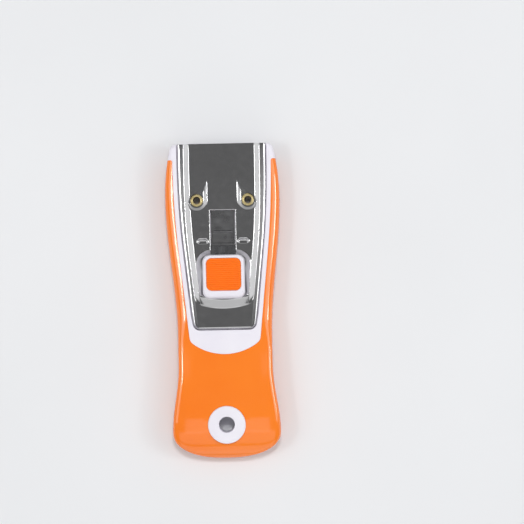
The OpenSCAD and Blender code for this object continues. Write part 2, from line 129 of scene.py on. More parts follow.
# Cover: its outline, channel and slot
SHEET = 0.9
SEAT_Z = 11.4
FLANGE_Z = 12.3
UNDER_LAP = 0.1
RIM_LEAST = 0.1
RIM_BEND = 1.0
RIM_DROP = 0.3
RIM_POWER = 1.6
SHEAR_FROM = 0.9
SHEAR_DROP = 0.255
SHEAR_STEEP = 3.2
FRONT_EDGE_W = 0.2
FRONT_EDGE_DROP = 0.12
PLATE_HW = 19.6
PLATE_END = 82.44
PLATE_GAP = 0.4
PLATE_CORNER = 3.0
TAPER = math.radians(6.0)
BEND_S = 8.0
BEND_L = 40.0
BEND_R = BEND_L / math.sin(TAPER)
FLANGE_FALL = 0.11
FRONT_FLANGE = 5.2
REAR_FLANGE = 4.65
CHANNEL_RISE = 2.0
CHANNEL_END = 73.44
FLANK = 2.6
FLANK_BEND = 0.15
REAR_R = 35.0
REAR_SLOPE = 4.3
SLOT_HW = 5.6
SLOT_S = 29.55
SLOT_END = 63.44
SLOT_TURN = 0.3
TURN_STEEP = 0.9
TURN_SOFT = 0.1

# Cover: its eyelet pockets, lock dimples and thumb dish
POCKET_X = 7.0
POCKET_FLOOR = 0.38
POCKET_R = 2.95
POCKET_WALL = 2.0
POCKET_BEND = 0.2
POCKET_BLEND = 0.02
POCKET_END = 32
RUN_IN_S = 16.3
RUN_IN_BACK = 0.731
RUN_IN_INWARD = 0.682
RUN_IN_FALL = 0.31
SEAT_R = 2.9
DIMPLE_X = 9.0
DIMPLE_S = 43.35
DIMPLE_L = 1.35
DIMPLE_R = 1.42
DIMPLE_DEPTH = 0.9
DIMPLE_POWER = 1.6
LOCK_R = 2.08
LOCK_REACH = 1.9
DISH_S = 47.3
DISH_END = 69.5
DISH_HW = 12.3
DISH_LAP = 0.25
DISH_CORNER = 6.0
DISH_RIM = 0.3
DISH_DEPTH = 0.5
DISH_WALL = 2.0
DISH_SIDE_FROM = 2
DISH_SIDE_BY = 8
DISH_SIDE_WALL = 0.8
DISH_SIDE_DEPTH = 0.1
DISH_FADE_S = 66.5
DISH_FADE_END = 70
DISH_FADE_WALL = 4.2
DISH_UNDER_Z = 12.85
DISH_LEAST = 0.3

# Eyelets
EYELET_X = 11.4
EYELET_S = 25.05
BORE_R = 1.9
BARREL_R = 1.85
ROLL_MID = 2.17
ROLL_HALF = 0.62
ROLL_H = 0.56
CLINCH_MID = 2.05
CLINCH_R = 0.6
WASHER_Z = 3.94

# Button, pad and leaf
BUTTON_S = 59.05
BUTTON_W = 18.8
BUTTON_L = 19.4
BUTTON_H = 3.6
SKIRT_Z = 15.3
SKIRT_R = 3.2
BROW_R = 2.7
BROW_NARROWER = 1.8
BROW_SHORTER = 3.7
BROW_FORWARD = 1.15
PAD_S = 58.05
PAD_W = 15.4
PAD_L = 14.4
PAD_R = 2.5
PAD_SET = 0.9
PAD_PROUD = 0.1
PAD_PLAY = 0.1
PAD_EDGE_W = 0.5
PAD_EDGE_DROP = 0.45
PAD_COLUMNS = 36
PAD_RIBS = 16
RIB_H = 0.345
RIB_POWER = 0.55
RIB_LINES = 8


# Form of the handle, as half width, top and underside at a station

def y_at(s):
    return LENGTH / 2 - s


def share(s, a, b):
    return min(max((s - a) / (b - a), 0.0), 1.0)


def ease(a, b, t):
    return a + (b - a) * (1 - math.cos(math.pi * t)) / 2


def round_off(t, q):
    return max(1 - t ** q, 0.0) ** (1 / q)


def soft_min(a, b, k):
    return -k * math.log(math.exp(-a / k) + math.exp(-b / k))


def side_hw(s):
    if s < SHOULDER_S:
        return SHOULDER_HW - FRONT_DRAW * (1 - s / SHOULDER_S) ** 2
    if s < WAIST_S:
        return ease(SHOULDER_HW, WAIST_HW, share(s, SHOULDER_S, WAIST_S))
    return ease(WAIST_HW, TAIL_HW, share(s, FLARE_S, TAIL_S))


def form_hw(s, inset):
    nose = NOSE_R - math.sqrt(NOSE_R ** 2 - (NOSE_R - s) ** 2) if s < NOSE_R else 0.0
    tail = round_off(share(s, TAIL_S, LENGTH - inset), TAIL_POWER)
    return (side_hw(s) - nose - inset) * tail * FIT


def form_top(s, inset):
    if s < CROWN_S:
        crown = ease(DECK_Z, CROWN_Z, share(s, CROWN_S - CROWN_L, CROWN_S))
    else:
        crown = ease(CROWN_Z, BOSS_Z, share(s, CROWN_S, DROP_S))
    return EDGE_Z + (crown - inset - EDGE_Z) * round_off(share(s, DROP_S, LENGTH - inset), DROP_POWER)


def form_low(s, inset):
    if s < SOLE_S:
        return inset - SOLE_DIP + SOLE_RISE * (1 - s / SOLE_S) ** SOLE_POWER
    tail = round_off(share(s, TAIL_S - 2, LENGTH - inset), TAIL_POWER)
    return EDGE_Z + (inset - SOLE_DIP - EDGE_Z) * tail


def top_power(s):
    """How square a section's upper half is: round beside the cover, with a tighter shoulder behind it."""
    return ease(TOP_ROUND, TOP_SQUARE, share(s, SQUARE_FROM, SQUARE_BY))


def form_ring(s, inset, sides):
    hw, top, low = form_hw(s, inset), form_top(s, inset), form_low(s, inset)
    mid = (top + low) / 2
    ring = []
    for j in range(sides):
        a = math.radians((j + 0.5) * 360 / sides - 90)
        q = top_power(s) if math.sin(a) > 0 else SOLE_ROUND
        x = math.copysign(abs(math.cos(a)) ** (2 / q), math.cos(a))
        z = math.copysign(abs(math.sin(a)) ** (2 / q), math.sin(a))
        ring.append((hw * x, y_at(s), max(inset, mid + (top - low) / 2 * z)))
    return ring


def form_rings(start, inset, step=2.5, sides=72):
    """Sections from a station to the tail, closer together round the nose and the tail."""
    stations = [start]
    if start == 0:
        stations = [NOSE_R * (1 - math.cos(math.radians(a))) for a in range(0, 91, 15)]
    begin = stations[-1]
    count = int((TAIL_S - begin) / step)
    stations += [begin + (TAIL_S - begin) * i / count for i in range(1, count)]
    last = LENGTH - inset - TAIL_S
    stations += [TAIL_S + last * math.sin(math.radians(a)) for a in [*range(0, 85, 6), 87, 89]]
    return [form_ring(s, inset, sides) for s in stations]


def outer_section(x, s):
    """Top, middle and underside of the outer form at a station, and how far out x is as a share."""
    s = max(s, 0)
    hw, top, low = form_hw(min(s, LENGTH - 1), 0), form_top(s, 0), form_low(s, 0)
    return top, (top + low) / 2, low, min(abs(x) / max(hw, 0.1), 1)


def top_surface(x, s):
    top, mid, low, out = outer_section(x, s)
    return mid + (top - mid) * round_off(out, top_power(s))


def sole_surface(x, s):
    top, mid, low, out = outer_section(x, s)
    return max(0.0, mid - (mid - low) * round_off(out, SOLE_ROUND))


def plate_side(s):
    a = math.asin(min(max((s - BEND_S) / BEND_R, 0.0), math.sin(TAPER)))
    return PLATE_HW - BEND_R * (1 - math.cos(a)) - max(s - BEND_S - BEND_L, 0.0) * math.tan(TAPER)


def tongue_hw(s):
    side, mid = plate_side(s) + RIM_W, TONGUE_END - TONGUE_R
    if s < mid:
        return side
    return soft_min(side, math.sqrt(max(TONGUE_R ** 2 - (s - mid) ** 2, 0.0)), TONGUE_BLEND)


def sole_hw(s):
    rim = EYELET_X + WINDOW_RIM - plate_side(EYELET_S)
    return (rim + plate_side(s)) * round_off(share(s, WINDOW_S, WINDOW_END), 2)


def channel_hw(s):
    return plate_side(s) - ease(FRONT_FLANGE, REAR_FLANGE, share(s, BEND_S, BEND_S + BEND_L))


# Modelling steps

def deselect():
    if bpy.context.object and bpy.context.object.mode != "OBJECT":
        bpy.ops.object.mode_set(mode="OBJECT")
    bpy.ops.object.select_all(action="DESELECT")


def take(obj):
    deselect()
    obj.select_set(True)
    bpy.context.view_layer.objects.active = obj


def edit_all(obj):
    take(obj)
    bpy.ops.object.mode_set(mode="EDIT")
    bpy.ops.mesh.select_mode(type="VERT")
    bpy.ops.mesh.select_all(action="SELECT")


def close_up(obj):
    edit_all(obj)
    bpy.ops.mesh.remove_doubles(threshold=1e-7)
    bpy.ops.mesh.delete_loose(use_verts=True, use_edges=True, use_faces=False)
    bpy.ops.mesh.select_all(action="SELECT")
    bpy.ops.mesh.normals_make_consistent(inside=False)
    bpy.ops.object.mode_set(mode="OBJECT")


def apply_modifier(obj, kind, **settings):
    take(obj)
    modifier = obj.modifiers.new(kind.lower(), kind)
    for name, value in settings.items():
        setattr(modifier, name, value)
    bpy.ops.object.modifier_apply(modifier=modifier.name)


def shape_with(obj, tool, operation):
    """The tool is added, taken away or kept in common, and then removed."""
    apply_modifier(obj, "BOOLEAN", object=tool, operation=operation, solver="MANIFOLD")
    bpy.data.objects.remove(tool)


def duplicate(obj, name):
    take(obj)
    bpy.ops.object.duplicate()
    copy = bpy.context.object
    copy.name = name
    return copy


def spot_of(vert):
    return tuple(round(c, 9) for c in vert.co)


def loft(name, rings):
    """A filled circle is laid on the first ring and extruded from ring to ring."""
    deselect()
    bpy.ops.mesh.primitive_circle_add(vertices=len(rings[0]), radius=MM, fill_type="NGON")
    obj = bpy.context.object
    obj.name = name
    for vert, point in zip(obj.data.vertices, rings[0]):
        vert.co = Vector(point) * MM
    edit_all(obj)
    here = [spot_of(vert) for vert in bmesh.from_edit_mesh(obj.data).verts]
    for ring in rings[1:]:
        bpy.ops.mesh.extrude_region_move()
        spots = {spot: i for i, spot in enumerate(here)}
        mesh = bmesh.from_edit_mesh(obj.data)
        moved = {}
        for vert in mesh.verts:
            if vert.select:
                i = spots[spot_of(vert)]
                vert.co = Vector(ring[i]) * MM
                moved[i] = spot_of(vert)
        here = [moved[i] for i in range(len(ring))]
    bmesh.update_edit_mesh(obj.data)
    bpy.ops.mesh.select_all(action="SELECT")
    bpy.ops.mesh.normals_make_consistent(inside=False)
    bpy.ops.object.mode_set(mode="OBJECT")
    return obj


def lathe(name, profile, x, s, steps=64):
    """A closed profile of radii and heights, spun round an upright axis."""
    deselect()
    bpy.ops.mesh.primitive_circle_add(vertices=len(profile), radius=MM)
    obj = bpy.context.object
    obj.name = name
    for vert, (r, z) in zip(obj.data.vertices, profile):
        vert.co = Vector((x + r, y_at(s), z)) * MM
    edit_all(obj)
    bpy.ops.mesh.spin(steps=steps, angle=2 * math.pi, center=(x * MM, y_at(s) * MM, 0), axis=(0, 0, 1))
    bpy.ops.object.mode_set(mode="OBJECT")
    close_up(obj)
    return obj


def plug(r, z0, z1):
    """Profile of a plain cylinder, for lathe."""
    return [(r, z0), (r, z1), (0, z1), (0, z0)]


def box(name, hw, s0, s1, z0, z1):
    deselect()
    bpy.ops.mesh.primitive_cube_add(size=1)
    obj = bpy.context.object
    obj.name = name
    edit_all(obj)
    bpy.ops.transform.resize(value=(2 * hw * MM, (s1 - s0) * MM, (z1 - z0) * MM))
    bpy.ops.transform.translate(value=(0, y_at((s0 + s1) / 2) * MM, (z0 + z1) / 2 * MM))
    bpy.ops.object.mode_set(mode="OBJECT")
    return obj


def slice_off(obj, point, normal):
    """What lies on the normal's side of the plane is cut away, and the cut is filled."""
    edit_all(obj)
    bpy.ops.mesh.bisect(plane_co=Vector(point) * MM, plane_no=normal, use_fill=True, clear_outer=True)
    bpy.ops.object.mode_set(mode="OBJECT")
    close_up(obj)


def both_sides(half):
    """A plan of half widths and stations, closed by its mirror image."""
    return half + [(-x, s) for x, s in reversed(half)]


def outline_tool(name, plan, surface, levels):
    """A plan drawn up through levels.

    Each level is a height, or a rise over the surface where the height is None, and how far the plan grows.
    """
    count = len(plan)
    out = []
    for i in range(count):
        (xa, sa), (xb, sb) = plan[i - 1], plan[(i + 1) % count]
        along = Vector((xb - xa, sb - sa)).normalized()
        out.append(Vector((-along.y, along.x)))
    area = sum(plan[i - 1][0] * plan[i][1] - plan[i][0] * plan[i - 1][1] for i in range(count))
    turn = -1 if area > 0 else 1
    rings = []
    for height, rise, grow in levels:
        ring = []
        for (x, s), n in zip(plan, out):
            gx, gs = x + n.x * grow * turn, s + n.y * grow * turn
            ring.append((gx, y_at(gs), height if rise is None else surface(x, s) + rise))
        rings.append(ring)
    return loft(name, rings)


def edge_levels(start, end, steps, up=1, out=1):
    """Levels from one height to another, through an edge that is rounded where it meets the surface."""
    levels = [(start, None, 0)]
    levels += [(None, up * rise, out * grow) for rise, grow in steps]
    return levels + [(end, None, out * steps[-1][1])]


def round_rect(w, l, r, steps=10):
    ring = []
    for cx, cy, start in ((1, 1, 0), (-1, 1, 90), (-1, -1, 180), (1, -1, 270)):
        for i in range(steps + 1):
            a = math.radians(start + 90 * i / steps)
            ring.append((cx * (w / 2 - r) + r * math.cos(a), cy * (l / 2 - r) + r * math.sin(a)))
    return ring


def settle(obj, body, node, material, angle=35):
    """The finished piece gets its material and shading, and takes its node's place."""
    obj.data.materials.clear()
    obj.data.materials.append(material)
    take(obj)
    bpy.ops.object.shade_smooth_by_angle(angle=math.radians(angle))
    if body:
        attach(obj, body)
    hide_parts(node)


# Finishes

MIX_FACTOR, MIX_FIRST, MIX_SECOND, MIX_RESULT = 0, 6, 7, 2


def new_finish(name, color, metallic, roughness):
    material = bpy.data.materials.new(name)
    material.use_nodes = True
    shader = material.node_tree.nodes["Principled BSDF"]
    shader.inputs["Base Color"].default_value = (*color, 1)
    shader.inputs["Metallic"].default_value = metallic
    shader.inputs["Roughness"].default_value = roughness
    return material, material.node_tree, shader


def grain(tree, scale, detail=3.0, stretch=(1, 1, 1), rough=0.5):
    """Noise on the piece's own coordinates. The scale is features a metre."""
    place = tree.nodes.new("ShaderNodeTexCoord")
    mapping = tree.nodes.new("ShaderNodeMapping")
    mapping.inputs["Scale"].default_value = stretch
    noise = tree.nodes.new("ShaderNodeTexNoise")
    noise.inputs["Scale"].default_value = scale
    noise.inputs["Detail"].default_value = detail
    noise.inputs["Roughness"].default_value = rough
    tree.links.new(place.outputs["Object"], mapping.inputs["Vector"])
    tree.links.new(mapping.outputs["Vector"], noise.inputs["Vector"])
    return noise.outputs["Fac"]


def along_axis(tree, space, axis):
    place = tree.nodes.new("ShaderNodeTexCoord")
    parts = tree.nodes.new("ShaderNodeSeparateXYZ")
    tree.links.new(place.outputs[space], parts.inputs["Vector"])
    return parts.outputs[axis]


def map_range(tree, value, low, high):
    node = tree.nodes.new("ShaderNodeMapRange")
    node.inputs["From Min"].default_value = low
    node.inputs["From Max"].default_value = high
    tree.links.new(value, node.inputs["Value"])
    return node.outputs["Result"]


def ramp(tree, value, stops):
    node = tree.nodes.new("ShaderNodeValToRGB")
    while len(node.color_ramp.elements) < len(stops):
        node.color_ramp.elements.new(0.5)
    for element, (place, color) in zip(node.color_ramp.elements, stops):
        element.position = place
        element.color = (*color, 1) if hasattr(color, "__len__") else (color, color, color, 1)
    tree.links.new(value, node.inputs["Fac"])
    return node.outputs["Color"]


def mix_colors(tree, factor, first, second, kind="MIX"):
    """Each value is a socket to link or a plain number or colour to set."""
    node = tree.nodes.new("ShaderNodeMix")
    node.data_type = "RGBA"
    node.blend_type = kind
    for socket, value in ((MIX_FACTOR, factor), (MIX_FIRST, first), (MIX_SECOND, second)):
        if isinstance(value, bpy.types.NodeSocket):
            tree.links.new(value, node.inputs[socket])
        else:
            node.inputs[socket].default_value = value
    return node.outputs[MIX_RESULT]


def bump(tree, shader, height, strength, distance):
    node = tree.nodes.new("ShaderNodeBump")
    node.inputs["Strength"].default_value = strength
    node.inputs["Distance"].default_value = distance * MM
    tree.links.new(height, node.inputs["Height"])
    tree.links.new(node.outputs["Normal"], shader.inputs["Normal"])


def moulded_white():
    material, tree, shader = new_finish("moulded_white", (0.83, 0.81, 0.87), 0.0, 0.36)
    tint = ramp(tree, grain(tree, 55, 4), [(0.3, (0.80, 0.775, 0.845)), (0.7, (0.855, 0.835, 0.89))])
    gloss = ramp(tree, grain(tree, 260, 5), [(0.25, 0.3), (0.75, 0.44)])
    tree.links.new(tint, shader.inputs["Base Color"])
    tree.links.new(gloss, shader.inputs["Roughness"])
    bump(tree, shader, grain(tree, 2600, 3), strength=0.25, distance=0.02)
    return material


def soft_orange(name, low, high, roughness, specular):
    material, tree, shader = new_finish(name, high, 0.0, roughness)
    shader.inputs["Specular IOR Level"].default_value = specular
    tint = ramp(tree, grain(tree, 38, 4), [(0.3, low), (0.7, high)])
    gloss = ramp(tree, grain(tree, 320, 5), [(0.25, roughness - 0.02), (0.75, roughness + 0.04)])
    tree.links.new(tint, shader.inputs["Base Color"])
    tree.links.new(gloss, shader.inputs["Roughness"])
    bump(tree, shader, grain(tree, 3400, 4), strength=0.06, distance=0.03)
    return material


def bright_chrome():
    material, tree, shader = new_finish("bright_chrome", (0.78, 0.78, 0.79), 1.0, 0.1)
    tint = ramp(tree, grain(tree, 90, 5), [(0.3, (0.75, 0.75, 0.76)), (0.7, (0.81, 0.81, 0.82))])
    gloss = ramp(tree, grain(tree, 420, 6), [(0.3, 0.07), (0.75, 0.17)])
    tree.links.new(tint, shader.inputs["Base Color"])
    tree.links.new(gloss, shader.inputs["Roughness"])
    bump(tree, shader, grain(tree, 900, 4, (1, 0.12, 1)), strength=0.03, distance=0.02)
    return material


def rolled_brass():
    """Bright brass on the rolled ends and washers, with painted shade: near-black inside the bore between
    them, for the shadow in the hole.
    """
    material, tree, shader = new_finish("rolled_brass", (0.88, 0.72, 0.36), 0.7, 0.24)
    bright = ramp(tree, grain(tree, 700, 5), [(0.3, (0.8, 0.63, 0.27)), (0.65, (0.95, 0.82, 0.46))])
    depth = map_range(tree, along_axis(tree, "Object", "Z"), 0.0, FLANGE_Z * MM)
    # Painted shade: between the rolled top and the washers the brass turns near-black, standing in for the
    # shadow inside the hole
    ends = ramp(tree, depth, [(0.33, 1.0), (0.38, 0.0), (0.95, 0.0), (1.0, 1.0)])
    tint = mix_colors(tree, ends, (0.12, 0.08, 0.035, 1), bright)
    gloss = ramp(tree, grain(tree, 1500, 5), [(0.3, 0.3), (0.75, 0.46)])
    tree.links.new(tint, shader.inputs["Base Color"])
    tree.links.new(gloss, shader.inputs["Roughness"])
    bump(tree, shader, grain(tree, 2500, 4), strength=0.12, distance=0.02)
    return material


def drawn_steel(name, dark, light, low, high, stretch):
    """Steel with drawing lines, between two tints and two roughnesses."""
    material, tree, shader = new_finish(name, light, 1.0, low)
    lines = grain(tree, 800, 6, stretch, 0.6)
    gloss = ramp(tree, grain(tree, 350, 5), [(0.3, low), (0.75, high)])
    tree.links.new(ramp(tree, lines, [(0.3, dark), (0.7, light)]), shader.inputs["Base Color"])
    tree.links.new(gloss, shader.inputs["Roughness"])
    bump(tree, shader, lines, strength=0.05, distance=0.02)
    return material


def ground_blade():
    """Satin steel with a brighter ground band along the edge."""
    material, tree, shader = new_finish("ground_blade", (0.6, 0.61, 0.63), 1.0, 0.28)
    lines = grain(tree, 900, 3, (1, 0.04, 1), 0.4)
    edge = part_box("blade")[1][1]
    band = map_range(tree, along_axis(tree, "Object", "Y"), edge - 1.3 * MM, edge - 1.2 * MM)
    satin = ramp(tree, lines, [(0.3, (0.45, 0.46, 0.48)), (0.7, (0.48, 0.49, 0.51))])
    ground = ramp(tree, lines, [(0.3, (0.72, 0.73, 0.75)), (0.7, (0.75, 0.76, 0.78))])
    gloss = ramp(tree, grain(tree, 120, 3), [(0.3, 0.26), (0.7, 0.31)])
    tree.links.new(mix_colors(tree, band, satin, ground), shader.inputs["Base Color"])
    tree.links.new(gloss, shader.inputs["Roughness"])
    bump(tree, shader, lines, strength=0.01, distance=0.01)
    return material


ACROSS, LENGTHWISE = (0.1, 1, 1), (1, 0.1, 1)
WHITE = moulded_white()
ORANGE = soft_orange("soft_orange", (0.98, 0.21, 0.012), (1.0, 0.235, 0.016), 0.1, 1.0)
PAD_ORANGE = soft_orange("pad_orange", (0.96, 0.175, 0.006), (1.0, 0.205, 0.01), 0.4, 0.4)
CHROME = bright_chrome()
BRASS = rolled_brass()
CARRIER_STEEL = drawn_steel("plated_steel", (0.34, 0.34, 0.35), (0.43, 0.43, 0.44), 0.24, 0.4, ACROSS)
SPINE_STEEL = drawn_steel("folded_steel", (0.4, 0.41, 0.43), (0.56, 0.57, 0.59), 0.26, 0.42, ACROSS)
SPRING_STEEL = drawn_steel("spring_steel", (0.24, 0.245, 0.26), (0.4, 0.405, 0.42), 0.22, 0.36, LENGTHWISE)
BLADE_STEEL = ground_blade()


# Handle: one outer form, shared out between the white shells and the soft grip

SEAM = ((-0.22, 0), (-0.1, 0.03), (-0.03, 0.09), (0.06, 0.18))
LIP = ((-0.2, 0), (-0.1, 0.02), (-0.03, 0.07), (0.06, 0.16))
# Hollows of the upper shell: half width, front, back and floor
WELLS = (
    ("blade_bed", 19.35, -2, 22.2, BED_Z),
    ("tongue_way", 5.5, 21, 31, BED_Z),
    ("carrier_well", CARRIER_HW, 30.05, 70.44, 10.1),
    ("hook_groove", 4.3, 42, 63.2, 8.5),
)
# Profiles of the boss and of the hang hole with its softened ends
BOSS_PROFILE = [
    (BOSS_R, -1.0), (BOSS_R, BOSS_Z - 0.5), (BOSS_R - 0.06, BOSS_Z - 0.25), (BOSS_R - 0.22, BOSS_Z - 0.07),
    (BOSS_R - 0.5, BOSS_Z), (0, BOSS_Z), (0, -1.0),
]
HANG_PROFILE = [
    (HANG_R + 0.6, -1.0), (HANG_R + 0.45, 0.0), (HANG_R + 0.12, 0.15), (HANG_R, 0.5),
    (HANG_R, BOSS_Z - 0.5), (HANG_R + 0.12, BOSS_Z - 0.15), (HANG_R + 0.45, BOSS_Z),
    (HANG_R + 0.6, BOSS_Z + 1), (0, BOSS_Z + 1), (0, -1.0),
]


def closing_plan(half_width, start, end, count):
    """Half widths from a start to an end where the plan closes, with its points closer together there."""
    plan = []
    for i in range(count + 1):
        s = start + (end - start) * (1 - (1 - i / count) ** 2)
        plan.append((half_width(s), s))
    plan[-1] = (0.1, end)
    return plan


def white_plan():
    """Where white shows from above: the front corners, the rim beside the cover and the tongue behind it."""
    start = GRIP_FRONT + GRIP_CORNER
    corner_x = tongue_hw(GRIP_FRONT) + GRIP_CORNER
    corner = []
    for a in (0, 20, 45, 70):
        a = math.radians(a)
        corner.append((corner_x - GRIP_CORNER * math.sin(a), start - GRIP_CORNER * math.cos(a)))
    tongue = closing_plan(tongue_hw, start, TONGUE_END, 60)
    return both_sides([(CLEAR, -2), (CLEAR, GRIP_FRONT), *corner, *tongue])


def sole_plan():
    """Where white shows from below: the front corners and the window round the washers."""
    window = closing_plan(sole_hw, GRIP_FRONT + GRIP_CORNER, WINDOW_END, 40)
    return both_sides([(CLEAR, -2), (CLEAR, GRIP_FRONT), (sole_hw(GRIP_FRONT), GRIP_FRONT), *window])


def plate_plan(gap):
    end, r = PLATE_END + gap, PLATE_CORNER + gap
    side = plate_side(PLATE_END) + gap
    half = [(plate_side(s) + gap, s) for s in range(-2, 77, 3)]
    for a in range(0, 91, 9):
        a = math.radians(a)
        half.append((side - r * (1 - math.cos(a)), end - r * (1 - math.sin(a))))
    return both_sides(half)


def white_tool(levels):
    return outline_tool("white_area", white_plan(), top_surface, levels)


def sole_tool(levels):
    return outline_tool("sole_area", sole_plan(), sole_surface, levels)


def plate_tool(name, gap, levels):
    return outline_tool(name, plate_plan(gap), top_surface, levels)


def make_upper_shell(outer, inner):
    shell = duplicate(outer, "upper_shell_moulding")
    shape_with(shell, white_tool(edge_levels(-1, CLEAR, SEAM, out=-1)), "INTERSECT")
    shape_with(shell, duplicate(inner, "core"), "UNION")
    shape_with(shell, lathe("boss", BOSS_PROFILE, 0, HANG_S), "UNION")
    shape_with(shell, box("above_parting", *ALL_ROUND, PART_Z, 40), "INTERSECT")
    shape_with(shell, plate_tool("cover_recess", PLATE_GAP, edge_levels(SEAT_Z, CLEAR, LIP)), "DIFFERENCE")
    groove = plate_tool("relief_groove", PLATE_GAP, [(GROOVE_Z, None, 0), (13, None, 0)])
    shape_with(groove, plate_tool("seat", -0.1, [(5, None, 0), (20, None, 0)]), "DIFFERENCE")
    shape_with(shell, groove, "DIFFERENCE")
    for name, hw, front, back, floor in WELLS:
        shape_with(shell, box(name, hw, front, back, floor, CLEAR), "DIFFERENCE")
    for x in (-EYELET_X, EYELET_X):
        shape_with(shell, lathe("bore", plug(BORE_R, 0, CLEAR), x, EYELET_S), "DIFFERENCE")
    shape_with(shell, lathe("hang_bore", HANG_PROFILE, 0, HANG_S), "DIFFERENCE")
    settle(shell, "handle", "upper_shell", WHITE)


def make_lower_shell(outer, inner):
    shell = duplicate(outer, "lower_shell_moulding")
    shape_with(shell, sole_tool(edge_levels(CLEAR, -2, SEAM, up=-1, out=-1)), "INTERSECT")
    shape_with(shell, duplicate(inner, "core"), "UNION")
    shape_with(shell, lathe("boss", plug(BOSS_R, 0, 12), 0, HANG_S), "UNION")
    shape_with(shell, box("below_parting", *ALL_ROUND, -10, PART_Z), "INTERSECT")
    steps = [(MOUTH_R, -2), (COUNTERBORE_R, WASHER_Z), (BORE_R, WASHER_Z), (BORE_R, 12), (0, 12), (0, -2)]
    for x in (-EYELET_X, EYELET_X):
        shape_with(shell, lathe("counterbore", steps, x, EYELET_S), "DIFFERENCE")
    shape_with(shell, lathe("hang_bore", HANG_PROFILE, 0, HANG_S), "DIFFERENCE")
    settle(shell, "handle", "lower_shell", WHITE)


def make_grip(outer, inner):
    grip = duplicate(outer, "soft_grip")
    slice_off(grip, (0, y_at(GRIP_FRONT), 0), (0, 1, 0))
    shape_with(grip, duplicate(inner, "core"), "DIFFERENCE")
    shape_with(grip, white_tool(edge_levels(PART_Z, CLEAR, SEAM)), "DIFFERENCE")
    shape_with(grip, sole_tool(edge_levels(PART_Z, -2, SEAM, up=-1)), "DIFFERENCE")
    shape_with(grip, lathe("boss", plug(BOSS_R + 0.02, -2, CLEAR), 0, HANG_S), "DIFFERENCE")
    settle(grip, "handle", "grip_overmould", ORANGE)


# Cover: a grid whose lines follow the sheet's sides, pressed to its heights, then given its thickness

# Distances of the grid's lines from the sheet's rim and from the slot
RIM_LINES = (1.0, 0.85, 0.7, 0.55, 0.4, 0.25, 0.1, 0.04, 0.0)
SLOT_LINES = (0.3, 0.25, 0.2, 0.12, 0.05)


def press_curve(t, bend):
    """Rise of a pressed wall across its width: a bend at each end, with a straight run between them."""
    t = min(max(t, 0.0), 1.0)
    steep = 1 / (1 - bend)
    if t < bend:
        return steep * t ** 2 / (2 * bend)
    if t > 1 - bend:
        return 1 - steep * (1 - t) ** 2 / (2 * bend)
    return steep * (t - bend / 2)


def pocket_height(x, s):
    """Share of the channel's rise near an eyelet.

    A low floor has a wall round its inner side, and a run-in falls to it rearwards and inwards.
    """
    inside, rear = EYELET_X - x, s - EYELET_S
    across = math.hypot(inside, rear) if rear > 0 else inside
    wall = press_curve((across - POCKET_R) / POCKET_WALL, POCKET_BEND)
    along = RUN_IN_BACK * (s - RUN_IN_S) - RUN_IN_INWARD * (x - POCKET_X)
    fall = 0.0 if along < 0 else along ** 2 / 2 if along < 1 else along - 0.5
    return max(POCKET_FLOOR + (1 - POCKET_FLOOR) * wall, 1 - RUN_IN_FALL * fall)


def dish_height(x, s):
    """How far down the thumb dish is pressed.

    Its hollow walls ease off towards the button, and are wider and deeper at its sides.
    """
    side = min(channel_hw(s) + DISH_LAP, DISH_HW) - x
    front = s - DISH_S
    if side < DISH_CORNER and front < DISH_CORNER:
        inside = DISH_CORNER - math.hypot(DISH_CORNER - side, DISH_CORNER - front)
    else:
        inside = min(side, front)
    if inside < DISH_RIM:
        inside = max(inside, 0.0) ** 2 / (2 * DISH_RIM)
    else:
        inside -= DISH_RIM / 2
    beside = ease(0.0, 1.0, share(s, DISH_S + DISH_SIDE_FROM, DISH_S + DISH_SIDE_BY))
    fade = ease(0.0, DISH_FADE_WALL, share(s, DISH_FADE_S, DISH_FADE_END))
    wide = DISH_WALL + DISH_SIDE_WALL * beside + fade
    t = 1 - share(inside, 0.0, wide)
    return (DISH_DEPTH + DISH_SIDE_DEPTH * beside) * (1 - t * t)


def dimple_distance(x, s):
    return math.hypot(max(abs(abs(x) - DIMPLE_X) - DIMPLE_L, 0.0), s - DIMPLE_S)


def cover_height(x, s):
    """Height over the flange."""
    x = abs(x)
    rise = press_curve((channel_hw(s) + FLANK - x) / FLANK, FLANK_BEND)
    if s < POCKET_END:
        near = pocket_height(x, s)
        rise = soft_min(rise, near, POCKET_BLEND) + POCKET_BLEND * math.log(2) * rise * near
    height = CHANNEL_RISE * rise
    if s > DISH_S:
        height -= dish_height(x, s) * rise
    centre = CHANNEL_END - REAR_R
    if s > centre:
        height *= press_curve((REAR_R - math.hypot(x, s - centre)) / REAR_SLOPE, FLANK_BEND)
    apart = dimple_distance(x, s) / DIMPLE_R
    if apart < 1:
        height -= DIMPLE_DEPTH * (1.0 - apart ** 2) ** DIMPLE_POWER
    return max(height, 0.0)


def edge_drop(distance, width, depth):
    """A quarter round along an edge."""
    if distance >= width:
        return 0.0
    return depth * (1 - math.sqrt(max(1 - (1 - max(distance, 0.0) / width) ** 2, 0.0)))


def rolled_edge(distance):
    """The cover's rim: it bends down over its last millimetre and ends in a sheared edge."""
    t = RIM_BEND - max(distance, 0.0)
    if t <= 0:
        return 0.0
    if t < SHEAR_FROM:
        return RIM_DROP * t ** RIM_POWER
    return SHEAR_DROP + SHEAR_STEEP * (t - SHEAR_FROM)


def slot_edge(distance):
    """The slot's rim, turned down at about forty degrees."""
    t = SLOT_TURN - max(distance, 0.0)
    if t <= 0:
        return 0.0
    if t < TURN_SOFT:
        return TURN_STEEP * t ** 2 / (2 * TURN_SOFT)
    return TURN_STEEP * (t - TURN_SOFT / 2)


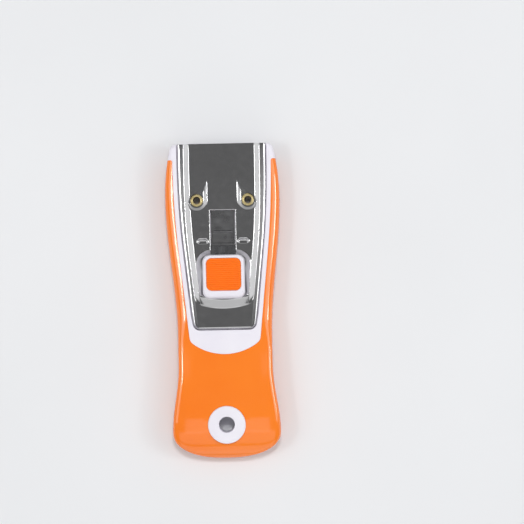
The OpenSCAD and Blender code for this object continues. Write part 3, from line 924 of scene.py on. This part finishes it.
def cover_point(x, s, side):
    z = FLANGE_Z + cover_height(x, s)
    corner = PLATE_CORNER
    if s > PLATE_END - corner and abs(x) > plate_side(s) - corner:
        rim = corner - math.hypot(abs(x) - plate_side(s) + corner, s - PLATE_END + corner)
    else:
        rim = min(side - abs(x), PLATE_END - s)
    z -= FLANGE_FALL * max(abs(x) - channel_hw(s) - FLANK, 0.0)
    z = max(z - rolled_edge(rim) - edge_drop(s, FRONT_EDGE_W, FRONT_EDGE_DROP), SEAT_Z + RIM_LEAST)
    z -= slot_edge(max(abs(x) - SLOT_HW, SLOT_S - s, s - SLOT_END))
    return x, y_at(s), z


def under_height(x, s, low):
    """Underside of the sheet, where low is its top less its thickness.

    It stands on its seat, has a round boss below each dimple, and is thinner in the dish.
    """
    apart = dimple_distance(x, s)
    boss = CLEAR
    if apart < LOCK_REACH:
        boss = FLANGE_Z + CHANNEL_RISE - math.sqrt(max(LOCK_R ** 2 - apart ** 2, 0.0))
    under = max(min(low - UNDER_LAP, boss), SEAT_Z)
    if abs(x) < CARRIER_HW and DISH_S < s < DISH_END:
        under = max(under, min(DISH_UNDER_Z, low + SHEET - DISH_LEAST))
    return under


def spread(start, end, count):
    return [start + (end - start) * i / count for i in range(count)]


def cover_rows():
    """Stations of the grid's cross lines, closest together where the sheet bends."""
    rows = [0.0, 0.03, 0.08, 0.14]
    rows += spread(FRONT_EDGE_W, 14, 14) + spread(14, SLOT_S - SLOT_TURN, 72)
    rows += [SLOT_S - d for d in SLOT_LINES]
    rows += spread(SLOT_S, POCKET_END, 10) + spread(POCKET_END, 41.5, 11)
    rows += spread(41.5, 45.2, 31) + spread(45.2, 51, 24) + spread(51, SLOT_END, 14)
    rows += [SLOT_END] + [SLOT_END + d for d in reversed(SLOT_LINES)]
    rows += spread(SLOT_END + 0.7, 68, 6) + spread(68, 75, 28) + spread(75, PLATE_END - RIM_BEND, 8)
    return rows + [PLATE_END - d for d in RIM_LINES]


def cover_columns(s):
    """Places of the grid's lengthwise lines at a station, and the sheet's half width there."""
    flat, side = channel_hw(s), plate_side(s)
    steady, foot = min(10.5, flat - 1.5), flat + FLANK + 0.3
    half = spread(0, SLOT_HW, 6) + [SLOT_HW] + [SLOT_HW + d for d in reversed(SLOT_LINES)]
    half += spread(SLOT_HW + 0.45, steady, 28) + spread(steady, flat - 0.3, 15)
    half += spread(flat - 0.3, foot, 20) + spread(foot, side - RIM_BEND, 4)
    half += [side - d for d in RIM_LINES]
    beyond = max(s - (PLATE_END - PLATE_CORNER), 0.0)
    narrow = PLATE_CORNER - math.sqrt(max(PLATE_CORNER ** 2 - beyond ** 2, 0.0))
    scale = (side - narrow) / side
    return [-x * scale for x in reversed(half[1:])] + [x * scale for x in half], side - narrow


def plan_place(point):
    """Place across the tool and station of a point in metres."""
    return point.x / MM, LENGTH / 2 - point.y / MM


def make_cover():
    rows = list(reversed(cover_rows()))
    wide = len(cover_columns(0)[0])
    deselect()
    bpy.ops.mesh.primitive_grid_add(x_subdivisions=wide - 1, y_subdivisions=len(rows) - 1, size=0.1)
    cover = bpy.context.object
    cover.name = "pressed_cover"
    verts = cover.data.vertices
    for j, s in enumerate(rows):
        columns, side = cover_columns(s)
        for i, x in enumerate(columns):
            verts[j * wide + i].co = Vector(cover_point(x, s, side)) * MM
    bpy.ops.object.mode_set(mode="EDIT")
    bpy.ops.mesh.select_mode(type="FACE")
    bpy.ops.mesh.select_all(action="DESELECT")
    for face in bmesh.from_edit_mesh(cover.data).faces:
        x, s = plan_place(face.calc_center_median())
        in_slot = abs(x) < SLOT_HW and SLOT_S < s < SLOT_END
        face.select = in_slot or math.hypot(abs(x) - EYELET_X, s - EYELET_S) < BORE_R + 0.2
    bmesh.update_edit_mesh(cover.data)
    bpy.ops.mesh.delete(type="FACE")
    bpy.ops.mesh.select_all(action="SELECT")
    bpy.ops.mesh.extrude_region_move(TRANSFORM_OT_translate={"value": (0, 0, -SHEET * MM)})
    for vert in bmesh.from_edit_mesh(cover.data).verts:
        if vert.select:
            x, s = plan_place(vert.co)
            vert.co.z = under_height(x, s, vert.co.z / MM) * MM
    bmesh.update_edit_mesh(cover.data)
    bpy.ops.object.mode_set(mode="OBJECT")
    close_up(cover)
    for x in (-EYELET_X, EYELET_X):
        seat = lathe("seat", plug(SEAT_R, FLANGE_Z, 16), x, EYELET_S, 96)
        shape_with(cover, seat, "DIFFERENCE")
    settle(cover, "handle", "cover_plate", CHROME, 42)


# Eyelets: one rolled profile, spun and copied

def make_eyelets():
    low = WASHER_Z - CLINCH_R
    bend = [math.radians(180 - 180 * i / 14) for i in range(15)]
    roll = [(ROLL_MID + ROLL_HALF * math.cos(a), FLANGE_Z + ROLL_H * math.sin(a) ** 0.8) for a in bend]
    clinch = [(CLINCH_MID + CLINCH_R * math.cos(a), low - CLINCH_R * math.sin(a)) for a in reversed(bend)]
    profile = [*roll, (BARREL_R, FLANGE_Z), (BARREL_R, low), *clinch]
    left = lathe("rolled_eyelet_left", profile, -EYELET_X, EYELET_S)
    right = duplicate(left, "rolled_eyelet_right")
    edit_all(right)
    bpy.ops.transform.translate(value=(2 * EYELET_X * MM, 0, 0))
    bpy.ops.object.mode_set(mode="OBJECT")
    settle(left, "handle", "eyelet_left", BRASS, 50)
    settle(right, "handle", "eyelet_right", BRASS, 50)


# Button and its ribbed pad

# How far in and how far up the button's side is, from its skirt to its brow
BUTTON_CURVE = (
    (-0.04, 0), (-0.01, 0.02), (0, 0.06), (0, 0.25), (0.02, 0.4), (0.07, 0.54), (0.16, 0.68), (0.3, 0.81),
    (0.48, 0.905), (0.72, 0.97), (1, 1),
)
# How far out and how far down the edge of the pad's seat is
SEAT_EDGE = ((0.12, 0.0), (0.03, 0.05), (0, 0.14), (0, PAD_SET))


def make_button():
    skirt = round_rect(BUTTON_W, BUTTON_L, SKIRT_R)
    brow = round_rect(BUTTON_W - BROW_NARROWER, BUTTON_L - BROW_SHORTER, BROW_R)
    seat = round_rect(PAD_W + PAD_PLAY, PAD_L + PAD_PLAY, PAD_R + PAD_PLAY / 2)
    rings = []
    for t, h in BUTTON_CURVE:
        ring = []
        for (xa, ya), (xb, yb) in zip(skirt, brow):
            y = y_at(BUTTON_S) + ya + (yb + BROW_FORWARD - ya) * t
            ring.append((xa + (xb - xa) * t, y, SKIRT_Z + BUTTON_H * h))
        rings.append(ring)
    top = SKIRT_Z + BUTTON_H
    for grow, drop in SEAT_EDGE:
        scale = 1 + 2 * grow / PAD_W
        rings.append([(x * scale, y_at(PAD_S) + y * scale, top - drop) for x, y in seat])
    button = loft("thumb_button", rings)
    shape_with(button, box("neck", 5.3, 51.15, 63.14, 12.8, SKIRT_Z + 0.5), "UNION")
    shape_with(button, box("post", 3.4, 57.14, 62.14, 9.5, 13.2), "UNION")
    settle(button, "button", "slide_button", WHITE)


def make_pad():
    rows, columns = PAD_RIBS * RIB_LINES, PAD_COLUMNS
    base, valley = SKIRT_Z + BUTTON_H - PAD_SET, SKIRT_Z + BUTTON_H + PAD_PROUD
    deselect()
    bpy.ops.mesh.primitive_grid_add(x_subdivisions=columns, y_subdivisions=rows, size=0.1)
    pad = bpy.context.object
    pad.name = "ribbed_pad"
    for j in range(rows + 1):
        y = PAD_L * (j / rows - 0.5)
        beyond = max(abs(y) - (PAD_L / 2 - PAD_R), 0.0)
        hw = PAD_W / 2 - PAD_R + math.sqrt(max(PAD_R * PAD_R - beyond * beyond, 0.0))
        rib = (0.5 - 0.5 * math.cos(2 * math.pi * j / RIB_LINES)) ** RIB_POWER
        for i in range(columns + 1):
            t = 2 * i / columns - 1
            x = hw * math.copysign(1 - (1 - abs(t)) ** 1.5, t)
            rim = min(hw - abs(x), PAD_L / 2 - abs(y))
            z = valley + RIB_H * rib - edge_drop(rim, PAD_EDGE_W, PAD_EDGE_DROP)
            pad.data.vertices[j * (columns + 1) + i].co = Vector((x, y_at(PAD_S) + y, z)) * MM
    edit_all(pad)
    bpy.ops.mesh.extrude_region_move(TRANSFORM_OT_translate={"value": (0, 0, -0.5 * MM)})
    for vert in bmesh.from_edit_mesh(pad.data).verts:
        if vert.select:
            vert.co.z = base * MM
    bmesh.update_edit_mesh(pad.data)
    bpy.ops.object.mode_set(mode="OBJECT")
    close_up(pad)
    settle(pad, "button", "button_pad", PAD_ORANGE, 50)


# Sheet-metal pieces: copies of their solids with softened edges

def soften(node, name, body, material, width):
    piece = duplicate(frame["nodes"][node], name)
    for key in list(piece.keys()):
        del piece[key]
    take(piece)
    bpy.ops.object.parent_clear(type="CLEAR")
    edit_all(piece)
    bpy.ops.mesh.remove_doubles(threshold=1e-6)
    bpy.ops.mesh.dissolve_limited(angle_limit=math.radians(2))
    bpy.ops.object.mode_set(mode="OBJECT")
    apply_modifier(piece, "BEVEL", width=width * MM, segments=2,
                   limit_method="ANGLE", angle_limit=math.radians(30))
    settle(piece, body, node, material)
    apply_modifier(piece, "WEIGHTED_NORMAL", keep_sharp=True)
    return piece


outer = loft("outer_form", form_rings(0, 0))
inner = loft("inner_form", form_rings(CORE_S, GRIP_T, step=4, sides=48))
make_upper_shell(outer, inner)
make_lower_shell(outer, inner)
make_grip(outer, inner)
bpy.data.objects.remove(outer)
bpy.data.objects.remove(inner)
make_cover()
make_eyelets()
make_button()
make_pad()
soften("blade_carrier", "pressed_carrier", "carriage", CARRIER_STEEL, 0.12)
soften("blade_spine", "folded_spine", "carriage", SPINE_STEEL, 0.1)

# The leaf is softened like the other sheet pieces, left without a body, and its transform baked into its mesh
leaf = soften("lock_leaf", "spring_leaf", None, SPRING_STEEL, 0.06)
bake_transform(leaf)

# Solids that stay, with their finishes
for node, material in (
    ("blade", BLADE_STEEL),
    ("leaf_rivet_left", CARRIER_STEEL),
    ("leaf_rivet_right", CARRIER_STEEL),
    ("eyelet_washer_left", BRASS),
    ("eyelet_washer_right", BRASS),
):
    frame["nodes"][node].data.materials.clear()
    frame["nodes"][node].data.materials.append(material)


# Floor, light and camera, in metres

# Place, size and radiance. The strips draw the thin highlights, and the cards tone the cover's flanges.
# The key light casts the shadows and stays out of reflections.
LAMPS = (
    ("left_strip", (-0.443, 0.032, 0.76), (0.15, 0.09), 12.0),
    ("right_strip", (0.66, 0.032, 0.577), (0.15, 0.13), 11.0),
    ("left_softbox", (-0.56, 0.03, 0.7), (0.5, 0.34), 1.6),
    ("right_softbox", (0.56, 0.03, 0.7), (0.5, 0.34), 1.6),
    ("left_card", (-0.237, 0.03, 0.93), (0.12, 0.28), 0.26),
    ("right_card", (0.209, 0.03, 0.937), (0.12, 0.28), 0.26),
    ("tail_softbox", (0, -0.93, 0.36), (0.8, 0.46), 0.6),
    ("middle_softbox", (0, -0.656, 0.755), (0.6, 0.38), 0.5),
    ("tail_strip", (0, -0.375, 0.927), (0.22, 0.35), 0.55),
)
KEY_LAMP = ("key_light", (0.03, 0.26, 1.0), (0.13, 0.13), 58.0)
PICTURE_PX = 524
PX_PER_MM = 2.2548
SENSOR = 36
CAMERA_HEIGHT = 1.2
CAMERA_TURN = math.radians(-1.2)
VIEW_CENTRE = (17.08 * MM, 17.03 * MM)
PLATE_LEVEL = 14 * MM


def make_floor():
    deselect()
    bpy.ops.mesh.primitive_plane_add(size=8, location=(0, 0, -0.0002))
    floor = bpy.context.object
    floor.name = "floor"
    material, tree, shader = new_finish("pale_floor", (0.8, 0.81, 0.82), 0.0, 0.6)
    tint = ramp(tree, grain(tree, 6, 3), [(0.3, (0.79, 0.8, 0.81)), (0.7, (0.82, 0.83, 0.84))])
    tree.links.new(tint, shader.inputs["Base Color"])
    floor.data.materials.append(material)


def make_world():
    """Even light all round. What glossy surfaces see of it is dim overhead, so that flat metal reads grey."""
    world = bpy.data.worlds.new("studio")
    bpy.context.scene.world = world
    world.use_nodes = True
    tree = world.node_tree
    fill = tree.nodes["Background"]
    fill.inputs["Color"].default_value = (0.44, 0.44, 0.45, 1)
    up = along_axis(tree, "Generated", "Z")
    tone = ramp(tree, up, [(0.0, 0.72), (0.12, 0.75), (0.3, 0.62), (0.45, 0.16), (0.9, 0.11)])
    lengthwise = map_range(tree, along_axis(tree, "Generated", "Y"), -1, 1)
    ends = ramp(tree, lengthwise, [(0.1, 0.45), (0.3, 1.0), (0.68, 1.0), (0.95, 0.5)])
    seen = tree.nodes.new("ShaderNodeBackground")
    seen.inputs["Strength"].default_value = 1.1
    tree.links.new(mix_colors(tree, 1, tone, ends, "MULTIPLY"), seen.inputs["Color"])
    plain = tree.nodes.new("ShaderNodeBackground")
    plain.inputs["Color"].default_value = (0.86, 0.87, 0.88, 1)
    path = tree.nodes.new("ShaderNodeLightPath")
    shader = fill
    for ray, other in (("Is Glossy Ray", seen), ("Is Camera Ray", plain)):
        choose = tree.nodes.new("ShaderNodeMixShader")
        tree.links.new(path.outputs[ray], choose.inputs["Fac"])
        tree.links.new(shader.outputs[0], choose.inputs[1])
        tree.links.new(other.outputs[0], choose.inputs[2])
        shader = choose
    tree.links.new(shader.outputs[0], tree.nodes["World Output"].inputs["Surface"])


def add_lamp(name, place, size, radiance):
    """A rectangular lamp that faces the tool."""
    light = bpy.data.lights.new(name, "AREA")
    light.shape = "RECTANGLE"
    light.size, light.size_y = size
    light.energy = math.pi * size[0] * size[1] * radiance
    lamp = bpy.data.objects.new(name, light)
    bpy.context.scene.collection.objects.link(lamp)
    lamp.location = place
    lamp.rotation_euler = (-Vector(place)).to_track_quat("-Z", "Y").to_euler()
    return lamp


def make_camera():
    """Straight down on the plate, slightly turned, at the photograph's scale."""
    data = bpy.data.cameras.new("camera")
    camera = bpy.data.objects.new("camera", data)
    bpy.context.scene.collection.objects.link(camera)
    data.sensor_width = SENSOR
    data.lens = SENSOR * CAMERA_HEIGHT / (PICTURE_PX / PX_PER_MM * MM)
    camera.location = (*VIEW_CENTRE, CAMERA_HEIGHT + PLATE_LEVEL)
    camera.rotation_euler = (0, 0, CAMERA_TURN)
    bpy.context.scene.camera = camera


make_floor()
make_world()
for lamp in LAMPS:
    add_lamp(*lamp)
add_lamp(*KEY_LAMP).visible_glossy = False
make_camera()
bpy.context.scene.view_settings.view_transform = "Standard"
bpy.context.view_layer.update()
